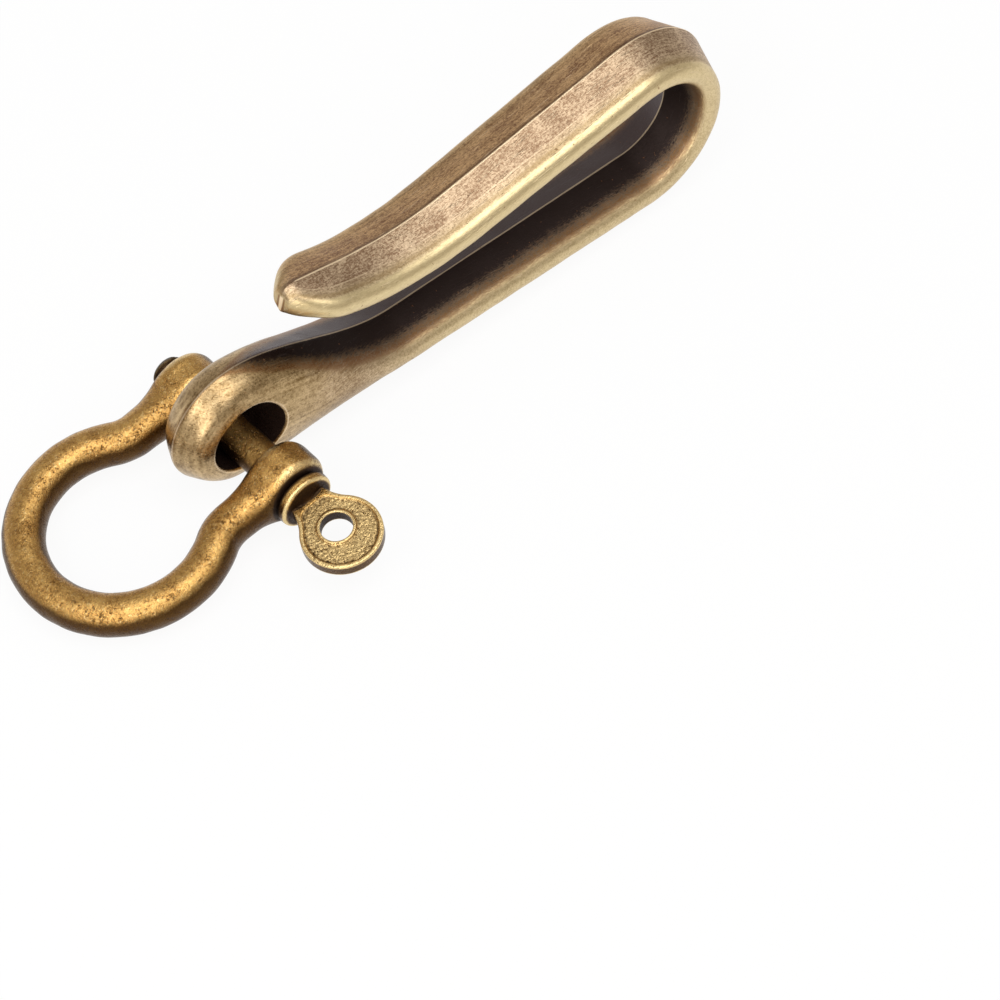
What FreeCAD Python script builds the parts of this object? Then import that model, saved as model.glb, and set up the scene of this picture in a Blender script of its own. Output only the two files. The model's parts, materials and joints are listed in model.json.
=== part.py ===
import FreeCAD, Part
import math
import os

# Belt key clip: a cast hook with an eye, and a bow shackle with a screw pin through that eye.
# Millimetres and degrees. The clip lies on its back on a table: +Z is up, +X runs along the hook
# from the eye to the bend, and the pin lies along Y with its thumb tab towards -Y.

Vector = FreeCAD.Vector
ORIGIN = Vector(0, 0, 0)
ALONG = Vector(1, 0, 0)
ACROSS = Vector(0, 1, 0)
UP = Vector(0, 0, 1)

# Hook eye: a thick ring whose rim rises to a ridge
eye_bore_radius = 4.2
eye_ring_radius = 7.3
eye_shoulder_radius = 6.0
eye_flat_half_width = 2.8
eye_half_width = 3.75

# Hook strip: a lozenge section with a ridge on both faces and rounded edges
strip_thickness = 5.5
strip_edge_thickness = 2.7
strip_edge_depth = 1.2
bend_half_width = 5.1
back_half_width = 4.7
tongue_half_width = 4.8

# Hook side profile
neck_length = 21.0
back_length = 53.0
back_drop = 2.2
bend_radius = 8.4
tongue_slope = 11.0
tongue_length = 22.5
flare_radius = 38.0
flare_turn = 24.0
tip_length = 7.0
tip_rise = 0.6
tip_thickness = 3.8
tip_edge_thickness = 2.4
tip_root_half_width = 4.5
tip_half_width = 0.7
tip_point_length = 5.8
tip_taper_length = 12.0

# Shackle bow: a round bar bent to an omega, with an eye at each end
bar_radius = 2.2
bow_radius = 9.9
bow_centre_reach = 14.9
bow_neck_radius = 5.0
leg_half_spacing = 7.45
leg_root_radius = 2.35
bow_eye_radius = 3.8
bow_eye_thickness = 4.8
bow_eye_round = 1.5

# Screw pin
shank_radius = 2.0
thread_radius = 1.9
thread_stand_out = 1.5
thread_run_in = 0.6
thread_chamfer = 0.4
collar_radius = 3.1
collar_thickness = 1.2
collar_round = 0.4

# Thumb tab on the pin
tab_thickness = 1.5
tab_end_radius = 4.2
tab_end_reach = 5.2
tab_neck_half_width = 1.95
tab_flank_radius = 5.0
tab_root_radius = 1.9
tab_root_length = 0.9
tab_hole_radius = 1.65
tab_hole_reach = 4.45
tab_rim_width = 0.55
tab_hole_rim_width = 0.4
tab_recess_depth = 0.2
tab_recess_start = 0.3

# Fits and clearances
pin_clearance = 0.06
thread_clearance = 0.06
collar_seat_gap = 0.05
eye_rest_gap = 0.1
side_gap = 0.8

# Distance between the sections that shape the hook
section_spacing = 2.8


def mix(low, high, share):
    return low + (high - low) * share


def ease(share):
    return share * share * (3 - 2 * share)


def arc(first, middle, last):
    return Part.Arc(first, middle, last).toShape()


def line(first, last):
    return Part.LineSegment(first, last).toShape()


def circles(shape):
    """The round edges of a turned piece."""
    return [edge for edge in shape.Edges if isinstance(edge.Curve, Part.Circle)]


def strip_section(centre, lift, half_ridge, half_edge, half_width, flat_half_width):
    """One lozenge across the strip: ridges along lift, rounded edges along Y."""
    outer_ridge = centre + lift * half_ridge
    inner_ridge = centre - lift * half_ridge
    edges = []
    for side in (ACROSS, -ACROSS):
        outer_shoulder = centre + side * flat_half_width + lift * half_edge
        inner_shoulder = centre + side * flat_half_width - lift * half_edge
        half = [
            line(outer_ridge, outer_shoulder),
            arc(outer_shoulder, centre + side * half_width, inner_shoulder),
            line(inner_shoulder, inner_ridge),
        ]
        edges.append(half)
    return Part.Wire(edges[0] + [edge.reversed() for edge in reversed(edges[1])])


def walk(point, heading, length, turn):
    """The next point and heading after a run of this length that turns evenly by this angle."""
    if turn == 0:
        step = Vector(math.cos(heading), 0, math.sin(heading)) * length
        return point + step, heading
    radius = length / turn
    to_centre = Vector(-math.sin(heading), 0, math.cos(heading)) * radius
    centre = point + to_centre
    new_heading = heading + turn
    from_centre = Vector(math.sin(new_heading), 0, -math.cos(new_heading)) * radius
    return centre + from_centre, new_heading


def bend_turn():
    return math.radians(180 + tongue_slope)


def tip_width(from_tip):
    """Half width of the pointed tip: a full, even curve from the tongue's edge to the point."""
    short_of_root = 1 - from_tip / tip_point_length
    return tip_root_half_width - (tip_root_half_width - tip_half_width) * short_of_root ** 2


def section_count(length):
    return max(2, round(length / section_spacing))


def neck_sections():
    """From the tall section through the eye's centre to the flat strip of the back leg."""
    count = section_count(neck_length)
    wires = []
    for station in range(count):
        share = ease(station / count)
        centre = ALONG * (neck_length * station / count) - UP * (back_drop * share)
        half_width = mix(eye_half_width, back_half_width, share)
        flat = mix(eye_flat_half_width, back_half_width - strip_edge_depth, share)
        half_ridge = mix(eye_ring_radius, strip_thickness / 2, share)
        half_edge = mix(eye_shoulder_radius, strip_edge_thickness / 2, share)
        wires.append(strip_section(centre, -UP, half_ridge, half_edge, half_width, flat))
    return wires


def run_section(centre, heading, half_width, from_tip):
    """A section of the strip, thinner and narrower where it comes near the tip."""
    lift = Vector(math.sin(heading), 0, -math.cos(heading))
    taper = ease(min(1.0, from_tip / tip_taper_length))
    half_ridge = mix(tip_thickness, strip_thickness, taper) / 2
    half_edge = mix(tip_edge_thickness, strip_edge_thickness, taper) / 2
    raised = centre + lift * mix(tip_rise, 0.0, taper)
    flat = half_width - strip_edge_depth
    if from_tip < tip_point_length:
        half_width = tip_width(from_tip)
        flat = (tip_root_half_width - strip_edge_depth) * half_width / tip_root_half_width
    return strip_section(raised, lift, half_ridge, half_edge, half_width, flat)


def run_sections():
    """The back leg, the bend, the tongue and its flared tip, as sections square to the hook's line."""
    flare_length = flare_radius * math.radians(flare_turn)
    runs = [
        (back_length - neck_length, 0.0, back_half_width, bend_half_width),
        (bend_radius * bend_turn(), bend_turn(), bend_half_width, bend_half_width),
        (tongue_length, 0.0, bend_half_width, tongue_half_width),
        (flare_length, -math.radians(flare_turn), tongue_half_width, tip_root_half_width),
        (tip_length, 0.0, tip_root_half_width, tip_root_half_width),
    ]
    to_tip = sum(run[0] for run in runs)
    point = ALONG * neck_length - UP * back_drop
    heading = 0.0
    wires = []
    for length, turn, first_width, last_width in runs:
        count = section_count(length)
        for station in range(count):
            share = station / count
            centre, direction = walk(point, heading, length * share, turn * share)
            width = mix(first_width, last_width, share)
            wires.append(run_section(centre, direction, width, to_tip - length * share))
        point, heading = walk(point, heading, length, turn)
        to_tip -= length
    wires.append(run_section(point, heading, tip_root_half_width, 0.0))
    return wires


def eye_side_radius():
    """Radius of the gentle bulge of the eye's two side faces."""
    bulge = eye_half_width - eye_flat_half_width
    return (eye_shoulder_radius ** 2 + bulge ** 2) / (2 * bulge)


def eye_side(radius):
    """Half width of the eye at this distance from the middle of its bore."""
    return eye_half_width - eye_side_radius() + math.sqrt(eye_side_radius() ** 2 - radius ** 2)


def eye_end():
    """The round end of the eye: the section through its centre, turned half a circle about the bore."""
    ridge = UP * eye_ring_radius
    half_way = eye_shoulder_radius / 2
    sides = []
    shoulders = []
    for side in (ACROSS, -ACROSS):
        shoulder = side * eye_flat_half_width + UP * eye_shoulder_radius
        bulge = side * eye_side(half_way) + UP * half_way
        sides.append(arc(side * eye_half_width, bulge, shoulder))
        shoulders.append(shoulder)
    edges = [
        sides[0],
        line(shoulders[0], ridge),
        line(ridge, shoulders[1]),
        sides[1].reversed(),
        line(-ACROSS * eye_half_width, ACROSS * eye_half_width),
    ]
    return Part.Face(Part.Wire(edges)).revolve(ORIGIN, -ACROSS, 180)


def lay_angle():
    """How far the back leg dips towards the bend when eye and bend both touch the table."""
    bend_height = bend_radius - back_drop
    outer_bend_radius = bend_radius + strip_thickness / 2
    reach = math.hypot(back_length, bend_height)
    lean = math.acos((outer_bend_radius - eye_ring_radius) / reach)
    return math.degrees(lean - math.atan2(back_length, bend_height))


def make_hook():
    strip = Part.makeLoft(neck_sections() + run_sections(), True, False)
    body = strip.fuse(eye_end())
    bore_length = 4 * eye_half_width
    bore = Part.makeCylinder(eye_bore_radius, bore_length, -ACROSS * (bore_length / 2), ACROSS)
    hook = body.cut(bore).removeSplitter()
    hook.rotate(ORIGIN, ACROSS, lay_angle())
    hook.translate(UP * eye_ring_radius)
    return hook


def tangent_reach(line_offset, circle_radius, blend_radius):
    """Distance from a circle's centre to where a blend arc leaves a line parallel to the axis."""
    return math.sqrt((circle_radius + blend_radius) ** 2 - (line_offset + blend_radius) ** 2)


def leg_length():
    return bow_centre_reach - tangent_reach(leg_half_spacing, bow_radius, bow_neck_radius)


def blend_arc(line_end, blend_centre, circle_centre, circle_radius, blend_radius):
    """The blend arc from the end of the line to its touching point on the circle."""
    away = blend_centre - circle_centre
    touch = circle_centre + away * (circle_radius / (circle_radius + blend_radius))
    middle = ((line_end - blend_centre) + (touch - blend_centre)).normalize()
    return arc(line_end, blend_centre + middle * blend_radius, touch), touch


def bow_bar():
    """The bent bar between the two legs, swept along its blend arcs and its round."""
    centre = -ALONG * bow_centre_reach
    crown = -ALONG * (bow_centre_reach + bow_radius)
    blends = []
    touches = []
    for side in (ACROSS, -ACROSS):
        leg_end = side * leg_half_spacing - ALONG * leg_length()
        blend_centre = leg_end + side * bow_neck_radius
        blend, touch = blend_arc(leg_end, blend_centre, centre, bow_radius, bow_neck_radius)
        blends.append(blend)
        touches.append(touch)
    path = Part.Wire([blends[0], arc(touches[0], crown, touches[1]), blends[1].reversed()])
    start = ACROSS * leg_half_spacing - ALONG * leg_length()
    profile = Part.Wire(Part.makeCircle(bar_radius, start, ALONG))
    return path.makePipeShell([profile], True, False)


def bow_eye(side):
    """One eye of the bow with the tapered leg that carries it."""
    middle = side * leg_half_spacing
    face = middle - side * (bow_eye_thickness / 2)
    disc = Part.makeCylinder(bow_eye_radius, bow_eye_thickness, face, side)
    rounded = disc.makeFillet(bow_eye_round, circles(disc))
    leg = Part.makeCone(leg_root_radius, bar_radius, leg_length(), middle, -ALONG)
    return rounded.fuse(leg)


def make_bow():
    body = bow_bar().multiFuse([bow_eye(ACROSS), bow_eye(-ACROSS)])
    bore_length = 2 * bow_eye_thickness
    for side, radius in ((ACROSS, thread_radius + thread_clearance), (-ACROSS, shank_radius + pin_clearance)):
        start = side * (leg_half_spacing - bore_length / 2)
        body = body.cut(Part.makeCylinder(radius, bore_length, start, side))
    return body.removeSplitter()


def collar_face():
    """Y of the collar's outer face, where the thumb tab starts."""
    return -(leg_half_spacing + bow_eye_thickness / 2 + collar_seat_gap + collar_thickness)


def tab_outline(inset, start):
    """The paddle outline of the tab, drawn in by the inset, from a straight neck to its round end."""
    neck = tab_neck_half_width - inset
    end_radius = tab_end_radius - inset
    flank = tab_flank_radius + inset
    end_centre = ACROSS * (collar_face() - tab_end_reach)
    flank_reach = tangent_reach(neck, end_radius, flank)
    corners = []
    flanks = []
    touches = []
    for side in (ALONG, -ALONG):
        flank_start = end_centre + ACROSS * flank_reach + side * neck
        blend, touch = blend_arc(flank_start, flank_start + side * flank, end_centre, end_radius, flank)
        corner = ACROSS * start + side * neck
        corners.append(line(corner, flank_start))
        flanks.append(blend)
        touches.append(touch)
    tip = end_centre - ACROSS * end_radius
    across = line(ACROSS * start - ALONG * neck, ACROSS * start + ALONG * neck)
    edges = [corners[0], flanks[0], arc(touches[0], tip, touches[1])]
    edges += [flanks[1].reversed(), corners[1].reversed(), across]
    return Part.Face(Part.Wire(edges))


def make_tab():
    """The flat thumb tab: raised rims round its outline and its hole, on both faces."""
    face = collar_face()
    plate = tab_outline(0, face + collar_thickness / 2)
    plate.translate(-UP * (tab_thickness / 2))
    tab = plate.extrude(UP * tab_thickness)
    tab = tab.fuse(Part.makeCone(tab_root_radius, tab_thickness / 2, tab_root_length, ACROSS * face, -ACROSS))
    hole_centre = ACROSS * (face - tab_hole_reach)
    hole_rim = Part.makeCylinder(tab_hole_radius + tab_hole_rim_width, tab_thickness, hole_centre, UP)
    for side in (1, -1):
        recess = tab_outline(tab_rim_width, face - tab_root_length - tab_recess_start)
        recess.translate(UP * (side * (tab_thickness / 2 - tab_recess_depth)))
        pocket = recess.extrude(UP * (side * tab_thickness))
        rim = hole_rim.copy()
        rim.translate(-UP * (0 if side > 0 else tab_thickness))
        tab = tab.cut(pocket.cut(rim))
    hole_start = hole_centre - UP * tab_thickness
    return tab.cut(Part.makeCylinder(tab_hole_radius, 2 * tab_thickness, hole_start, UP))


def make_pin():
    """The screw pin: plain shank, threaded end as a plain cylinder of the thread's size, collar and tab."""
    seat = collar_face() + collar_thickness
    thread_start = leg_half_spacing - bow_eye_thickness / 2 - thread_run_in
    thread_end = leg_half_spacing + bow_eye_thickness / 2 + thread_stand_out
    shank = Part.makeCylinder(shank_radius, thread_start - seat, ACROSS * seat, ACROSS)
    thread = Part.makeCylinder(thread_radius, thread_end - thread_start, ACROSS * thread_start, ACROSS)
    tip_rim = [edge for edge in circles(thread) if abs(edge.CenterOfMass.y - thread_end) < thread_chamfer]
    thread = thread.makeChamfer(thread_chamfer, tip_rim)
    collar = Part.makeCylinder(collar_radius, collar_thickness, ACROSS * seat, -ACROSS)
    collar = collar.makeFillet(collar_round, circles(collar))
    return shank.multiFuse([thread, collar, make_tab()]).removeSplitter()


def pin_height():
    """The pin rests on the lowest point of the hook's eye."""
    return eye_ring_radius - (eye_bore_radius - shank_radius - eye_rest_gap)


def bow_slope():
    """The bow leans down from the pin until its crown touches the table."""
    return math.degrees(math.asin((pin_height() - bar_radius) / (bow_centre_reach + bow_radius)))


def bow_shift():
    """The hook's eye sits beside the threaded eye of the bow, so the bow lies off the hook's middle."""
    return eye_side(eye_bore_radius) + side_gap - (leg_half_spacing - bow_eye_thickness / 2)


def lay_on_table(shape):
    """Carry a shackle piece from its pin's own frame to where it lies."""
    shape.rotate(ORIGIN, ACROSS, -bow_slope())
    shape.translate(ACROSS * bow_shift() + UP * pin_height())
    return shape


pieces = {
    "hook": make_hook(),
    "shackle_bow": lay_on_table(make_bow()),
    "shackle_pin": lay_on_table(make_pin()),
}

# The origin is on the table, under the middle of the whole clip's box
box = Part.makeCompound(list(pieces.values())).optimalBoundingBox(False)
to_origin = Vector(-box.Center.x, -box.Center.y, -box.ZMin)
os.makedirs("parts", exist_ok=True)
for name, shape in pieces.items():
    shape.translate(to_origin)
    shape.exportStep(f"parts/{name}.step")
    print(name, "valid", shape.isValid(), "solids", len(shape.Solids), "volume", round(shape.Volume, 2))

pin_axis = to_origin + ACROSS * bow_shift() + UP * pin_height()
hole_reach = Vector(0, collar_face() - tab_hole_reach, 0)
print("box", round(box.XLength, 3), round(box.YLength, 3), round(box.ZLength, 3))
print("pin axis through", [round(value, 4) for value in pin_axis])
print("tab hole centre", [round(value, 4) for value in pin_axis + hole_reach])
print("bow slope", round(bow_slope(), 3), "hook dip", round(lay_angle(), 3))
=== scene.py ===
# %% [markdown]
# # A belt key clip in old brass
# The clip has three pieces: a cast hook that goes over a belt, a bow shackle that takes the keys, and the
# screw pin that joins them through the eye of the hook. The CAD frame holds their sizes, places and joints.
# This lesson adds what the eye sees: rounded casting edges, a cut thread, bright worn edges and the dark
# patina that stays in every hollow, darkened further by painted shade, as are the sideways flanks. Loading
# the frame comes first, because every piece is drawn around it.

# %% Load the frame
import json
import math

import bmesh
import bpy
import numpy as np
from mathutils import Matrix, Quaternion, Vector, noise


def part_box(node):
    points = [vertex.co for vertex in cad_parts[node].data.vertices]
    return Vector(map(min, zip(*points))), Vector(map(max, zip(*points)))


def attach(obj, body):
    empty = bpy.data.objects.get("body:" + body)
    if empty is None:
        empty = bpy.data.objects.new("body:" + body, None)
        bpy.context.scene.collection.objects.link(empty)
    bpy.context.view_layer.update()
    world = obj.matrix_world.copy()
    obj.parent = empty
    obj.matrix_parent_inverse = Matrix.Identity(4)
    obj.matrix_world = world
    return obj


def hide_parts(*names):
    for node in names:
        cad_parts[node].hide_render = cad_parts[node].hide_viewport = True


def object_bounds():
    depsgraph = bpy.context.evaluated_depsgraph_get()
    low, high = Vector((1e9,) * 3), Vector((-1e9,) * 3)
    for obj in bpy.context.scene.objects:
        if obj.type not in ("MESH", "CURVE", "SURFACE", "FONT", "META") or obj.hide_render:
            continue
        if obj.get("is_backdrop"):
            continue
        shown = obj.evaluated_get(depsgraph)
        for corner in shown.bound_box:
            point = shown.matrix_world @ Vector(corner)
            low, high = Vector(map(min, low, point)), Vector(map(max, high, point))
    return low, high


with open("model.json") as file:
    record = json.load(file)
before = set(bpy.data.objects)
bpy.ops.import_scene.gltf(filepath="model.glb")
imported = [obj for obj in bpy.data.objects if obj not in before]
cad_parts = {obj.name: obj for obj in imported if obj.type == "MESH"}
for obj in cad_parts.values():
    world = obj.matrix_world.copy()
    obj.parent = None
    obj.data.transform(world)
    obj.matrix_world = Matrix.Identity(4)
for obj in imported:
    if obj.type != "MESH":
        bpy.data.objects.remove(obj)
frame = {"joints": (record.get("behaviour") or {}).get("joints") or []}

cad_low, cad_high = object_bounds()
print("CAD box in mm", [round(1000 * side, 2) for side in cad_high - cad_low])

# %% [markdown]
# ## Where the pieces lie
# A shape is easiest to draw in a frame of its own: the hook about the middle of its eye, the shackle about
# the line of its pin, both in millimetres. The clip lies on a table, so each piece is then turned a few
# degrees about the pin's direction and moved to its place. The angles could be typed in, but worked out
# from the sizes they stay true: the hook rests on its eye and its bend, the bow on its crown.

# %% Lay a piece on the table
MM = 0.001
eye_bore_radius = 4.2
eye_ring_radius = 7.3
strip_thickness = 5.5
back_length = 53.0
back_drop = 2.2
bend_radius = 8.4
shank_radius = 2.0
eye_rest_gap = 0.1
bar_radius = 2.2
bow_radius = 9.9
bow_centre_reach = 14.9

swing = next(joint for joint in frame["joints"] if joint["name"] == "shackle_swing")
pin_axis = np.array(swing["pos_m"])
hook_low, hook_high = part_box("hook")
pin_drop = eye_bore_radius - shank_radius - eye_rest_gap
bore_centre = np.array((pin_axis[0], (hook_low.y + hook_high.y) / 2, pin_axis[2] + pin_drop * MM))

bend_height = bend_radius - back_drop
rest_step = bend_radius + strip_thickness / 2 - eye_ring_radius
hook_dip = math.acos(rest_step / math.hypot(back_length, bend_height)) - math.atan2(back_length, bend_height)
bow_slope = -math.asin((eye_ring_radius - pin_drop - bar_radius) / (bow_centre_reach + bow_radius))


def lay(points, slope, anchor):
    """Points of a piece in its own frame (mm), turned about Y and carried to the anchor (m)."""
    x, y, z = points.T
    turned = np.column_stack((
        x * math.cos(slope) + z * math.sin(slope),
        y,
        z * math.cos(slope) - x * math.sin(slope),
    ))
    return turned * MM + anchor


print("hook dips", round(math.degrees(hook_dip), 2), "bow slopes", round(math.degrees(bow_slope), 2))

# %% [markdown]
# ## One section of the hook
# The hook is a lozenge bar: two roofs meet in a ridge on its outer face and on its inner face, and a rounded
# bead runs along each edge. A Bevel modifier could soften the corners, but it bevels all of them alike. Here
# the outline is blurred as a sound is filtered, by fading its fast waves: a little at the ridges, which stay
# crisp, and more where the roof runs into the bead. Points crowd towards the ridges, where the light turns.

# %% Section outline
ridge_zone = 0.9
bead_points = 60
loop_points = 720
half_points = 65
ridge_crowding = 0.75


def mix(low, high, share):
    return low + (high - low) * share


def ease(share):
    share = np.clip(share, 0.0, 1.0)
    return share * share * (3 - 2 * share)


def bell(distance, width):
    """1 at no distance, fading to nothing within a few widths."""
    return np.exp(-(distance / width) ** 2)


def respaced(points, shares):
    """The points at these shares of a line's length."""
    steps = np.linalg.norm(np.diff(points, axis=0), axis=1)
    run = np.concatenate(([0.0], np.cumsum(steps)))
    return np.column_stack([np.interp(shares * run[-1], run, column) for column in points.T])


def blurred(loop, girth, softness):
    """A closed, evenly spaced loop with its corners rounded over this many mm."""
    waves = np.fft.rfftfreq(len(loop), girth / len(loop))
    fade = np.exp(-2 * (math.pi * waves * softness) ** 2)[:, None]
    return np.fft.irfft(np.fft.rfft(loop, axis=0) * fade, len(loop), axis=0)


def section(ridge, edge, breadth, flat, softness, ridge_softness):
    """Half a section (y, z in mm) from its outer ridge, round the bead of its edge, to its inner ridge."""
    bulge = breadth - flat
    bead_radius = (edge ** 2 + bulge ** 2) / (2 * bulge)
    reach = math.asin(edge / bead_radius)
    turn = np.linspace(reach, -reach, bead_points)
    bead = bead_radius * np.column_stack((np.cos(turn), np.sin(turn))) + (breadth - bead_radius, 0)
    half = np.vstack(([0.0, ridge], bead, [0.0, -ridge]))
    loop = np.vstack((half, half[-2:0:-1] * (-1, 1), half[:1]))
    girth = np.linalg.norm(np.diff(loop, axis=0), axis=1).sum()
    loop = respaced(loop, np.arange(loop_points) / loop_points)
    near_ridge = bell(loop[:, :1], ridge_zone)
    rounded = mix(blurred(loop, girth, softness), blurred(loop, girth, ridge_softness), near_ridge)
    rounded *= np.array((breadth, ridge)) / rounded.max(axis=0)
    steps = np.linspace(0, 1, half_points)
    crowded = steps - ridge_crowding * np.sin(2 * math.pi * steps) / (2 * math.pi)
    return respaced(rounded[:loop_points // 2 + 1], crowded)


print("a section has", 2 * half_points - 2, "points")

# %% [markdown]
# ## The strip of the hook
# From the neck the strip runs along the back leg, round the bend, down the tongue and up its flared tip.
# A curve with a bevel object could sweep it, but the section changes all the way: the neck is tall, the
# bend is broad, and the tip draws in to a rounded nose with a blunt keel. So a walk along the side profile
# gives a section every third of a millimetre, and closer ones where the nose turns in. Each point also keeps
# what the finish will need: how far along the hook it lies, how far round the section, and whether it is on
# the bead, on the inner face or on a ridge.

# %% Walk along the hook
eye_shoulder_radius = 6.0
eye_flat_half_width = 2.8
eye_half_width = 3.75
strip_edge_thickness = 2.7
strip_edge_depth = 1.2
bend_half_width = 5.1
back_half_width = 4.7
tongue_half_width = 4.8
neck_length = 21.0
tongue_slope = 11.0
tongue_length = 22.5
flare_radius = 38.0
flare_turn = 24.0
tip_length = 7.0
tip_rise = 0.6
tip_thickness = 3.8
tip_edge_thickness = 2.4
tip_root_half_width = 4.5
tip_half_width = 0.7
tip_point_length = 5.8
tip_taper_length = 12.0
nose_set_back = 0.33
nose_round = 1.4
nose_height_share = 0.56
nose_rings = 12
join_reach = 8.5
station_spacing = 0.34
eye_softness = np.array((0.8, 0.34))
strip_softness = np.array((0.22, 0.06))


def neck(x):
    """Middle height, then ridge, edge, breadth and flat of the section at x along the neck."""
    share = ease(x / neck_length)
    ridge = mix(eye_ring_radius, strip_thickness / 2, share)
    edge = mix(eye_shoulder_radius, strip_edge_thickness / 2, share)
    breadth = mix(eye_half_width, back_half_width, share)
    flat = mix(eye_flat_half_width, back_half_width - strip_edge_depth, share)
    return -back_drop * share, ridge, edge, breadth, flat


def walk(point, heading, length, turn):
    """The point and heading after a run of this length that turns evenly by this angle."""
    if turn == 0:
        return point + length * np.array((math.cos(heading), math.sin(heading))), heading
    radius = length / turn
    centre = point + radius * np.array((-math.sin(heading), math.cos(heading)))
    heading += turn
    return centre + radius * np.array((math.sin(heading), -math.cos(heading))), heading


def run_sizes(half_width, from_tip):
    """Rise, ridge, edge, breadth and flat of a section, thinner and narrower close to the tip."""
    taper = ease(from_tip / tip_taper_length)
    breadth = half_width
    flat = breadth - strip_edge_depth
    if from_tip < tip_point_length:
        short_of_root = 1 - from_tip / tip_point_length
        breadth = tip_root_half_width - (tip_root_half_width - tip_half_width) * short_of_root ** 2
        flat = (tip_root_half_width - strip_edge_depth) * breadth / tip_root_half_width
    short_of_round = 1 - min(1.0, max(0.0, from_tip - nose_set_back) / nose_round)
    drawn_in = mix(nose_height_share, 1.0, math.sqrt(1 - short_of_round ** 2)) / 2
    ridge = mix(tip_thickness, strip_thickness, taper) * drawn_in
    edge = mix(tip_edge_thickness, strip_edge_thickness, taper) * drawn_in
    return tip_rise * (1 - taper), ridge, edge, breadth, flat


def hook_stations():
    """Middle (x, z), outward direction, sizes, softness and distance along, from the join to the tip."""
    outward = np.array((0.0, -1.0))
    neck_count = math.ceil((neck_length - join_reach) / station_spacing)
    for x in np.linspace(join_reach, neck_length, neck_count, endpoint=False):
        middle, *sizes = neck(x)
        softness = mix(eye_softness, strip_softness, ease((x - join_reach) / (neck_length - join_reach)))
        yield np.array((x, middle)), outward, sizes, softness, x
    bend_turn = math.radians(180 + tongue_slope)
    flare = math.radians(flare_turn)
    runs = [
        (back_length - neck_length, 0.0, back_half_width, bend_half_width),
        (bend_radius * bend_turn, bend_turn, bend_half_width, bend_half_width),
        (tongue_length, 0.0, bend_half_width, tongue_half_width),
        (flare_radius * flare, -flare, tongue_half_width, tip_root_half_width),
        (tip_length, 0.0, tip_root_half_width, tip_root_half_width),
    ]
    to_tip = sum(run[0] for run in runs)
    hook_length = neck_length + to_tip
    point, heading = np.array((neck_length, -back_drop)), 0.0
    for length, turn, first_width, last_width in runs:
        shares = np.linspace(0, 1, math.ceil(length / station_spacing), endpoint=False)
        is_last_run = to_tip - length < station_spacing
        if is_last_run:
            rounding = 1 - np.sin(np.linspace(0, math.pi / 2, nose_rings))
            close_to_end = 1 - (nose_set_back + nose_round * rounding) / length
            shares = np.concatenate((shares[shares < close_to_end[0]], close_to_end))
        for share in shares:
            middle, direction = walk(point, heading, length * share, turn * share)
            from_tip = to_tip - length * share
            outward = np.array((math.sin(direction), -math.cos(direction)))
            rise, *sizes = run_sizes(mix(first_width, last_width, share), from_tip)
            softness = strip_softness * (min(1.0, sizes[2] / tip_root_half_width), 1.0)
            yield middle + outward * rise, outward, sizes, softness, hook_length - from_tip
        point, heading = walk(point, heading, length, turn)
        to_tip -= length


stations = list(hook_stations())
hook_length = stations[-1][-1]
print("the strip has", len(stations), "sections over", round(hook_length - join_reach, 1), "mm")

# %% Skin the strip
crest_width = 0.11
crest_end = 0.4
crest_fade = 1.6
nose_clear = 0.6
nose_fade = 3.0
dark_places = (-1, 4, 11, 20)
dark_reaches = (-0.3, 0.35, 0.75, 0.8)
dark_slope = 1.2
inner_turn = 0.3


def shade(along, y, z, edge, flat):
    """How deep a place lies in the dark of the inner face: least on the eye, most near the inner ridge."""
    dark_reach = np.interp(along, dark_places, dark_reaches)
    near_middle = np.clip(0.5 + dark_slope * (dark_reach - y / flat), 0, 1)
    return near_middle * ease((inner_turn * edge - z) / (2 * inner_turn * edge))


def strip_marks(half, sizes, along):
    """What the finish needs at each point of half a section: round, mm on the bead, shade, crest."""
    ridge, edge, breadth, flat = sizes
    y, z = half.T
    to_nose = hook_length - along
    steps = np.linalg.norm(np.diff(half, axis=0), axis=1)
    around = np.concatenate(([0.0], np.cumsum(steps)))
    crest = bell(y, crest_width) * ease((to_nose - crest_end) / crest_fade)
    dark = shade(along, y, z, edge, flat) * ease((to_nose - nose_clear) / nose_fade)
    return np.column_stack((around, y - flat, dark, crest))


def whole(half):
    """A half section's rows, followed by the rows of its other side in turn."""
    return np.vstack((half, half[-2:0:-1]))


mirror = np.ones((2 * half_points - 2, 1))
mirror[half_points:] = -1
strip_points = []
strip_notes = []
halves = []
for middle, outward, sizes, softness, along in stations:
    half = section(*sizes, *softness)
    halves.append(half)
    ring = whole(half)
    side_view = middle + ring[:, 1:] * outward
    strip_points.append(np.column_stack((side_view[:, 0], ring[:, :1] * mirror, side_view[:, 1])))
    marks = whole(strip_marks(half, sizes, along))
    no_bore = np.zeros(len(ring))
    strip_notes.append(np.column_stack((np.full(len(ring), along), marks, no_bore)))


def grid_faces(rows, columns, start=0, closed=True):
    """Quads of a grid of points, row by row; a closed grid joins its last column to its first."""
    index = start + np.arange(rows * columns).reshape(rows, columns)
    after = np.roll(index, -1, axis=1)
    quads = np.stack((index[:-1], index[1:], after[1:], after[:-1]), axis=-1)
    if not closed:
        quads = quads[:, :-1]
    return quads.reshape(-1, 4)


ring_size = 2 * half_points - 2
last_ring = (len(stations) - 1) * ring_size
strip_faces = grid_faces(len(stations), ring_size)
across = [last_ring + (ring_size - k) % ring_size for k in range(half_points)]
keel_faces = [(last_ring + k, last_ring + k + 1, across[k + 1], across[k]) for k in range(half_points - 1)]
print("strip", len(strip_faces), "faces, keel", len(keel_faces))

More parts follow.
